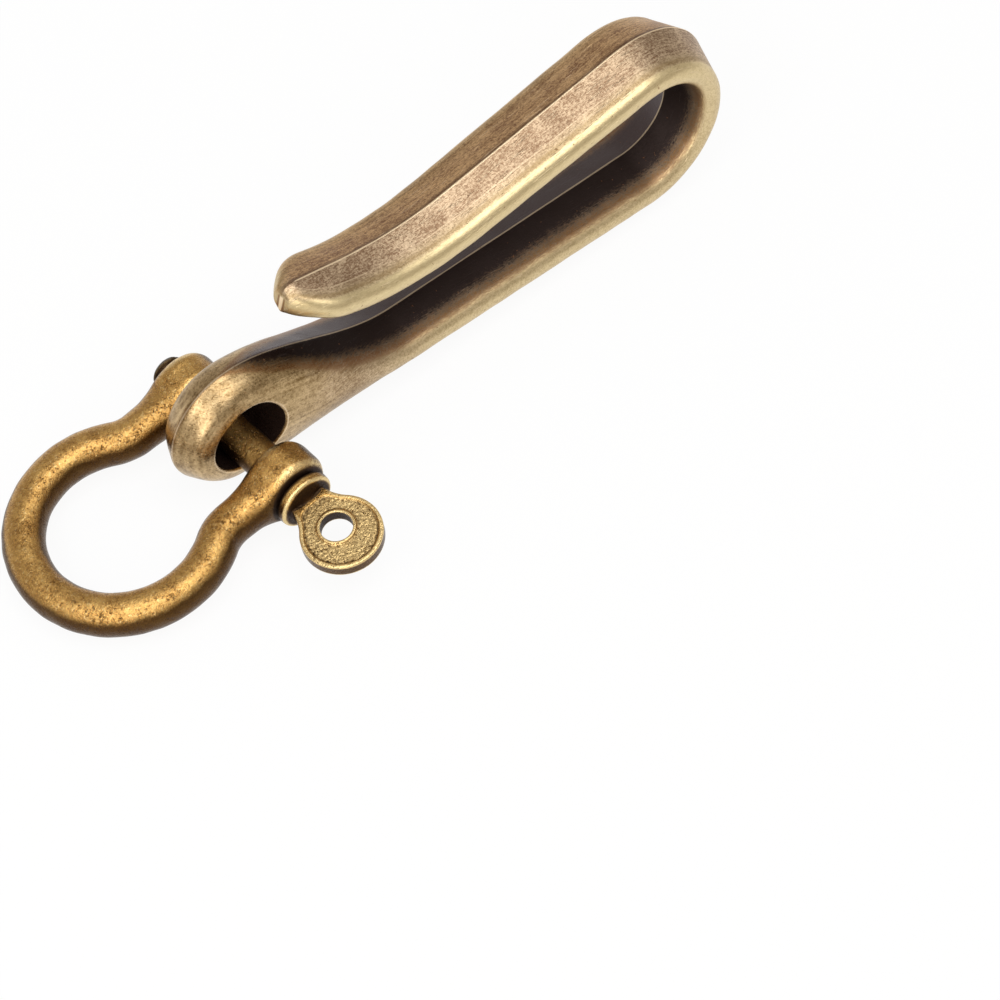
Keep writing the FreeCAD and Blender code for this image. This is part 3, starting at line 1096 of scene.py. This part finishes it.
class Finish(Bench):
    """A material's tree, with short ways to read marks and to make patterns."""

    def __init__(self, material):
        super().__init__(cleared(material))
        coordinates = self.node("ShaderNodeTexCoord", out="Object")
        in_mm = {0: coordinates, "Scale": 1 / MM}
        self.place = self.node("ShaderNodeVectorMath", {"operation": "SCALE"}, in_mm)

    def mark(self, name):
        return self.node("ShaderNodeAttribute", {"attribute_name": name}, out="Fac")

    def noise(self, vector, scale, detail=3.0, roughness=0.55):
        sockets = {"Vector": vector, "Scale": scale, "Detail": detail, "Roughness": roughness}
        return self.node("ShaderNodeTexNoise", {}, sockets)

    def vector(self, x, y, z):
        return self.node("ShaderNodeCombineXYZ", {}, {"X": x, "Y": y, "Z": z})

    def finish(self, colour, roughness, metallic, height, bump_depth):
        lifted = {"Height": height, "Distance": bump_depth * MM, "Strength": 1.0}
        shader = self.node("ShaderNodeBsdfPrincipled", {}, {
            "Base Color": colour,
            "Roughness": roughness,
            "Metallic": metallic,
            "Normal": self.node("ShaderNodeBump", {}, lifted),
        })
        self.node("ShaderNodeOutputMaterial", {}, {"Surface": shader})


print("screen grey 128 is", round(paint(128, 128, 128)[0], 3), "in linear light")

# %% [markdown]
# ## Brush marks on the hook
# Brushing leaves lines, and the lines follow the work: lengthwise on both legs, in rings about the bore on
# the round end of the eye. An image would have to be unwrapped to follow them. Noise takes a direction as
# soon as its coordinates are stretched, so the marks that tell how far along the hook and how far round its
# section a place lies are scaled by different amounts. The rings come from the distance to the bore in the
# same way.

# %% Patterns on the hook
eye_zone = (17.0, 5.0)
eye_border_sway = 6.0
ring_zone = (3.0, -1.0)
middle_fade = 0.1


class HookFinish(Finish):
    """The hook's tree, with its marks, its zones and the patterns that its finish is mixed from."""

    def __init__(self, material):
        super().__init__(material)
        for name in hook_marks:
            setattr(self, name, self.mark(name))
        bore_x, middle, bore_z = bore_centre / MM
        x, self.side, z = self.axes(self.place)
        ahead = x - bore_x
        above = z - bore_z
        from_bore = far(ahead, above)
        self.off_middle = abs(self.side - middle)
        self.far_side = self.step(self.side, middle - middle_fade, middle + middle_fade)
        self.speckle = self.noise(self.place, scale=4.3, detail=3.0, roughness=0.8)
        self.mottle = self.noise(self.place, scale=0.4)
        self.fine = self.noise(self.place, scale=1.6, detail=4.0, roughness=0.7)
        self.fibres = self.brush_lines(lengthwise=1.8, crosswise=8.0, sideways=0.5, roughness=0.65)
        self.streak = self.brush_lines(lengthwise=0.12, crosswise=2.5, sideways=0.4)
        scratches = self.brush_lines(lengthwise=0.3, crosswise=5.0, sideways=1.0, detail=2.0)
        self.scratch = self.step(scratches, 0.64, 0.7)
        self.dots = self.step(self.noise(self.place, scale=2.1, detail=2.0), 0.7, 0.76)
        self.on_eye = self.step(self.along + sway(self.mottle, eye_border_sway), *eye_zone)
        ring_lines = self.vector(3.5 * from_bore, 2 * ahead / from_bore, 2 * above / from_bore)
        rings = self.noise(ring_lines, scale=1.0, detail=4.0, roughness=0.65)
        self.brushed = mix(self.streak, rings, self.step(ahead, *ring_zone))

    def brush_lines(self, lengthwise, crosswise, sideways, detail=3.0, roughness=0.55):
        """Noise with about this many waves a millimetre along the hook, round its section and across it."""
        stretched = self.vector(self.along * lengthwise, self.around * crosswise, self.side * sideways)
        return self.noise(stretched, scale=1.0, detail=detail, roughness=roughness)


print("the hook has the marks", ", ".join(hook_marks))

# %% Old brass of the hook
roof_brown = paint(138, 110, 85)
roof_tan = paint(224, 199, 166)
# The far roofs' colours and the ridge brown paint shade on the far side.
far_shade_brown = paint(138, 101, 72)
far_shade_gold = paint(234, 195, 145)
ridge_shadow_brown = paint(84, 58, 42)
eye_olive = paint(118, 92, 54)
eye_gold = paint(224, 194, 146)
bead_gold = paint(242, 222, 174)
# Bead olive is dull patina and also the painted shade at each bead's border.
bead_olive_and_shade = paint(156, 130, 82)
# Crest pale is the worn ridges' colour and also the painted highlight on the keel.
crest_pale_and_highlight = paint(250, 226, 190)
# Inner black is patina with painted shade; inner grey is a painted reflection of the sky.
inner_patina_and_shade = paint(40, 27, 23)
inner_sky_reflection = paint(86, 73, 73)
# Inner rust is real rust and also the painted shade beside the keel.
rust_and_shade = paint(128, 82, 46)
# Bore brown paints the shade inside the bore.
bore_shade_brown = paint(72, 54, 46)
near_zone = (7.5, 3.5)
leg_zone = (10.0, 26.0)
tongue_zone = (62.0, 84.0)
nose_zone = (hook_length - 3.0, hook_length - 0.8)
keel_zone = (hook_length - 0.6, hook_length - 0.3)


def roof_colour(hook):
    """Speckled tan roofs, browner on the far side and dark along its ridge as painted shade, and gold round
    the eye.
    """
    grain = 0.45 * hook.fibres * (1 - 0.6 * hook.on_eye) + 0.27 * hook.on_eye * hook.fine
    grain = grain + 0.5 * hook.speckle + 0.2 * hook.mottle
    near_roof = hook.tint(hook.step(grain, 0.48, 0.71), roof_brown, roof_tan)
    # The far roofs are a browner copy of the roofs: a painted shade.
    far_shaded_roof = hook.tint(hook.step(grain + sway(hook.streak, 0.25), 0.44, 0.72), far_shade_brown, far_shade_gold)
    # A dark band along the far side of the ridge: a painted shadow.
    ridge_shadow = hook.step(hook.off_middle + sway(hook.streak, 0.4), 0.7, 0.2)
    far_shaded_roof = hook.tint(0.6 * ridge_shadow, far_shaded_roof, ridge_shadow_brown)
    eye = hook.tint(hook.step(grain + sway(hook.brushed, 0.4), 0.38, 0.8), eye_olive, eye_gold)
    return hook.tint(hook.on_eye, hook.tint(hook.far_side, near_roof, far_shaded_roof), eye)


def bead_colour(hook, roof):
    """The roofs with buffed beads and nose, brightest on the near side, with duller far beads and an olive
    band at each bead's border as painted shade, and how much bead each place is.
    """
    near = hook.step(hook.side, *near_zone)
    nose = hook.step(hook.along, *nose_zone)
    on_tongue = hook.step(hook.along, *tongue_zone)
    # Beads on the far side are polished less: wear together with a painted shade.
    polish_and_side_shade = (0.75 + 0.25 * on_tongue) * (0.25 + 0.75 * near.of("MAXIMUM", nose))
    polish_and_side_shade = polish_and_side_shade * hook.step(hook.along, *leg_zone)
    rough_bead = hook.bead + sway(hook.speckle, 0.5) + sway(hook.streak, 0.4)
    on_bead = hook.step(rough_bead, -0.15, 0.45) * polish_and_side_shade
    beside_bead = hook.step(rough_bead, -1.3, -0.6) * polish_and_side_shade
    # An olive band at each bead's border: a painted shade.
    border = hook.step(abs(rough_bead + 0.2), 0.4, 0.05) * polish_and_side_shade
    edge_line = hook.step(abs(hook.bead + 1.1 + sway(hook.mottle, 0.2)), 0.1, 0.03)
    edge_line = edge_line * hook.step(hook.streak, 0.35, 0.6) * polish_and_side_shade
    spots = hook.step(hook.speckle + sway(hook.fine, 0.4), 0.55, 0.4) * (1 - 0.6 * on_tongue)
    dull = 0.35 * hook.fibres + 0.5 * nose * hook.mottle + 0.3 * spots
    gold = hook.tint(dull, bead_gold, bead_olive_and_shade)
    outer = hook.tint(on_bead, hook.tint(0.18 * beside_bead, roof, bead_gold), gold)
    outer = hook.tint(0.45 * border, outer, bead_olive_and_shade)
    fine_lines = 0.35 * edge_line + 0.3 * hook.scratch * (1 - hook.on_eye)
    return hook.tint(fine_lines, outer, crest_pale_and_highlight), on_bead


def inner_colour(hook, outer):
    """The outer colour with inner faces almost black, patina with painted shade, and greyer on the far slope
    as a painted reflection of the sky, behind a rusty border, and how dark each place is.
    """
    # Near inner slope black, patina and painted shade; far inner slope grey, a painted reflection of the
    # sky.
    dark = hook.tint(hook.far_side * (0.6 + 0.5 * hook.speckle), inner_patina_and_shade, inner_sky_reflection)
    depth = hook.inner + sway(hook.fibres, 0.75) + sway(hook.speckle, 0.6) + sway(hook.fine, 0.3)
    in_shade = hook.step(depth, 0.04, 0.74)
    rust = hook.step(depth, -0.15, 0.3) * hook.step(hook.inner, -0.05, 0.15) * (1 - in_shade)
    return hook.tint(in_shade, hook.tint(0.85 * rust, outer, rust_and_shade), dark), in_shade


def dress_hook(material):
    hook = HookFinish(material)
    outer, on_bead = bead_colour(hook, roof_colour(hook))
    shaded, in_shade = inner_colour(hook, outer)
    # A pale facet on the keel of the nose is a painted highlight, with a painted shade on each side of it.
    nose_face = hook.step(hook.along, *keel_zone) * hook.step(hook.around, 1.0, 1.4)
    keel = nose_face * hook.step(hook.off_middle, 0.3, 0.16)
    keel_side_shade = nose_face * hook.step(abs(hook.off_middle - 0.4), 0.2, 0.05)
    ridge_line = hook.step(hook.crest + sway(hook.streak, 0.6), 0.35, 0.8)
    ridge_line = ridge_line * (1 - 0.5 * in_shade) * (1 - 0.5 * hook.on_eye)
    lined = hook.tint(ridge_line.of("MAXIMUM", keel), shaded, crest_pale_and_highlight)
    marked = hook.tint((0.6 * hook.dots).of("MAXIMUM", 0.7 * keel_side_shade), lined, rust_and_shade)
    # The bore's wall and rim are painted dark: a painted shade.
    colour = hook.tint(hook.bore, marked, bore_shade_brown)
    roughness = 0.44 + sway(hook.speckle, 0.18) + sway(hook.fibres, 0.12)
    roughness = roughness - 0.05 * on_bead - 0.15 * hook.on_eye
    metallic = 1 - 0.35 * in_shade - 0.3 * hook.bore
    height = (0.6 * hook.fibres + 0.6 * hook.speckle) * (1 - 0.6 * on_bead)
    height = height - 0.6 * hook.dots - 0.5 * hook.scratch
    height = height + hook.on_eye * (0.4 * hook.brushed - 0.3 * hook.speckle)
    hook.finish(colour, roughness, metallic, height, bump_depth=0.04)


hook_finish = bpy.data.materials.new("hook_brass_finish")
dress_hook(hook_finish)
hook_piece.data.materials.append(hook_finish)
print("hook finish has", len(hook_finish.node_tree.nodes), "nodes")

# %% [markdown]
# ## The shackle's finish
# Bow and pin are a yellower brass, with a golden brown patina that was only brushed: grainy all over and
# gold where it stands proud. The flanks that face sideways are darkened, a painted shade, light flecks away
# from them are partly a painted sparkle, and the crevices of eye, collar and thread are near black, patina
# with painted shade. Each could have a material of its own, but they look alike, so one finish dresses both
# and only the marks differ.

# %% Golden brass of the shackle
shackle_brown = paint(152, 108, 54)
shackle_gold = paint(224, 180, 108)
# The bright is wear and the tab's grain, and also a painted sparkle of the highlights.
shackle_bright_and_sparkle = paint(250, 220, 158)
# The dark paints pits and the tab's grain, and also the painted shade of the flanks.
shackle_dark_and_shade = paint(62, 38, 18)
# The crevice colour paints patina and shade in hollows, joints, shank and thread end.
crevice_patina_and_shade = paint(46, 30, 20)


def dress_shackle(material):
    brass = Finish(material)
    wear, hollow, sunk, flank = [brass.mark(mark) for mark in ("wear", "hollow", "sunk", "flank")]
    mottle = brass.noise(brass.place, scale=0.45)
    grain = brass.noise(brass.place, scale=2.2, detail=4.0, roughness=0.65)
    fine = brass.noise(brass.place, scale=6.5, detail=3.0, roughness=0.7)
    patches = brass.noise(brass.place, scale=3.2, detail=3.0, roughness=0.6)
    worn = brass.step(0.35 * grain + 0.45 * fine + 0.4 * mottle, 0.44, 0.78)
    body = brass.tint(worn, shackle_brown, shackle_gold)
    pits = brass.step(0.6 * fine + 0.5 * grain + 0.3 * mottle, 0.64, 0.5)
    body = brass.tint(0.45 * pits, body, shackle_dark_and_shade)
    # The sideways flanks are darkened: a painted shade.
    flank_shade = brass.step(flank + sway(grain, 0.7) + sway(mottle, 0.9), 0.2, 0.85)
    body = brass.tint(0.9 * flank_shade, body, shackle_dark_and_shade)
    # Light flecks kept off the flanks: random tone with a painted sparkle of the highlights.
    flecks_and_sparkle = brass.step(patches, 0.56, 0.68) * (1 - flank_shade)
    body = brass.tint(0.4 * flecks_and_sparkle, body, shackle_bright_and_sparkle)
    rubbed = brass.step(wear + sway(grain, 0.6), 0.35, 0.9)
    body = brass.tint(0.8 * rubbed, body, shackle_bright_and_sparkle)
    # Hollows, joints, shank and thread end go near black: patina and painted shade.
    patina_and_shade = brass.step(hollow + sway(grain, 0.4), 0.15, 0.8)
    body = brass.tint(0.94 * patina_and_shade, body, crevice_patina_and_shade)
    tab_face = brass.tint(brass.step(fine, 0.33, 0.55), shackle_dark_and_shade, shackle_bright_and_sparkle)
    colour = brass.tint(0.75 * sunk * (1 - patina_and_shade), body, tab_face)
    roughness = 0.27 + sway(grain, 0.22) + 0.2 * patina_and_shade - 0.06 * rubbed
    metallic = 1 - 0.15 * patina_and_shade
    height = 0.6 * grain + 0.5 * fine - 0.5 * pits
    brass.finish(colour, roughness, metallic, height, bump_depth=0.09)


dress_shackle(shackle_finish)
for piece in (bow_piece, pin_piece):
    piece.data.materials.append(shackle_finish)
print("shackle finish has", len(shackle_finish.node_tree.nodes), "nodes")

# %% [markdown]
# ## Pieces on their bodies
# Each piece now stands for its CAD node and rides on that node's body, so that the shackle swings and the
# pin draws out with the joints. Parenting by hand would do the same with more lines.

# %% Ride and replace
for piece, body, node, slot in (
    (hook_piece, "hook_body", "hook", "hook_brass"),
    (bow_piece, "bow_body", "shackle_bow", "shackle_brass"),
    (pin_piece, "pin_body", "shackle_pin", "shackle_brass"),
):
    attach(piece, body)
    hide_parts(node)
    print(piece.name, "rides on", body)

# %% [markdown]
# ## Floor, light and camera
# Metal shows its surroundings, so the room matters as much as the brass. A photographed room could light it,
# but that would be one more file, and its parts could not be moved. A floor, a sky and three lamps are
# enough: the white floor lights the beads from below, a broad soft lamp hangs over the clip, and the sky is
# paler above than at the horizon, which leaves the far roofs in shade. The floor is partly self-lit for the
# camera and for reflections, so that it is white, and partly lit by the lamps, so that the clip still casts
# its shadow on it. The camera's place, roll and lens are those that lay the clip's outline over the photo's.

# %% Floor and sky
floor_half_size = 4.0
floor_glow = 0.92
sky_zenith = (0.56, 0.55, 0.54, 1.0)
sky_horizon = (0.45, 0.41, 0.36, 1.0)
sky_low = 0.05
sky_high = 0.85
white = (1.0, 1.0, 1.0, 1.0)
floor_grey = (0.86, 0.86, 0.86, 1.0)
shown_rays = ("Is Camera Ray", "Is Glossy Ray", "Is Transmission Ray")

floor_mesh = bpy.data.meshes.new("floor")
corners = [(x * floor_half_size, y * floor_half_size, 0.0) for x, y in ((-1, -1), (1, -1), (1, 1), (-1, 1))]
floor_mesh.from_pydata(corners, [], [(0, 1, 2, 3)])
floor = put("floor", floor_mesh)
floor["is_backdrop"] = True
floor_paint = bpy.data.materials.new("white_floor")
room = Bench(cleared(floor_paint))
seen = [room.node("ShaderNodeLightPath", out=ray) for ray in shown_rays]
clamped_sum = {"operation": "ADD", "use_clamp": True}
any_seen = room.node("ShaderNodeMath", clamped_sum, {0: seen[0] + seen[1], 1: seen[2]})
matt = room.node("ShaderNodeBsdfDiffuse", {}, {"Color": floor_grey})
glow = room.node("ShaderNodeEmission", {}, {"Color": white, "Strength": 1.0})
shown = room.node("ShaderNodeMixShader", {}, {0: any_seen * floor_glow, 1: matt, 2: glow})
room.node("ShaderNodeOutputMaterial", {}, {"Surface": shown})
floor_mesh.materials.append(floor_paint)

world = bpy.data.worlds.new("studio")
sky = Bench(cleared(world))
direction = sky.node("ShaderNodeTexCoord", out="Generated")
climb = sky.step(sky.axes(direction)[2], sky_low, sky_high)
sky_colour = sky.tint(climb, sky_horizon, sky_zenith)
sky_light = sky.node("ShaderNodeBackground", {}, {"Color": sky_colour, "Strength": 1.0})
sky.node("ShaderNodeOutputWorld", {}, {"Surface": sky_light})
bpy.context.scene.world = world
print("floor", 2 * floor_half_size, "m across")

# %% Lamps and camera
lamp_aim_height = 0.01
clip_middle = Vector(((cad_low.x + cad_high.x) / 2, (cad_low.y + cad_high.y) / 2, lamp_aim_height))
lamps = (
    ("overhead", (0.035, -0.175, 0.68), (0.5, 0.5), 2.15),
    ("left_box", (-0.394, -0.073, 0.447), (0.25, 0.25), 0.85),
    ("near_left", (-0.46, -0.33, 0.21), (0.22, 0.3), 0.9),
)
for name, offset, size, power in lamps:
    light = bpy.data.lights.new(name, "AREA")
    light.shape = "RECTANGLE"
    light.size, light.size_y = size
    light.energy = power
    lamp = put(name, light)
    lamp.location = clip_middle + Vector(offset)
    lamp.rotation_euler = (-Vector(offset)).to_track_quat("-Z", "Y").to_euler()

camera_place = Vector((-0.154682, -0.197146, 0.331269))
camera_aim = Vector((-0.006756, -0.021981, 0.010))
camera_roll = math.radians(-1.689)
camera_lens = 146.3

lens = bpy.data.cameras.new("camera")
lens.lens = camera_lens
lens.sensor_width = 36.0
lens.clip_start = 0.01
camera = put("camera", lens)
camera.location = camera_place
camera.rotation_mode = "QUATERNION"
look = (camera_aim - camera_place).to_track_quat("-Z", "Y")
camera.rotation_quaternion = look @ Quaternion((0, 0, 1), camera_roll)
bpy.context.scene.camera = camera
bpy.context.scene.view_settings.view_transform = "Standard"
print("camera", round((camera_aim - camera_place).length, 3), "m from its aim")

# %% [markdown]
# ## Measured at the end
# The dressed clip must keep the size of the CAD clip, which moves and collides for it. So the box of the new
# pieces is measured and kept beside the CAD box.

# %% Sizes and finish
new_low, new_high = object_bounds()
sizes = {"cad": [list(cad_low), list(cad_high)], "visual": [list(new_low), list(new_high)]}
print("visual box in mm", [round(1000 * side, 2) for side in new_high - new_low])
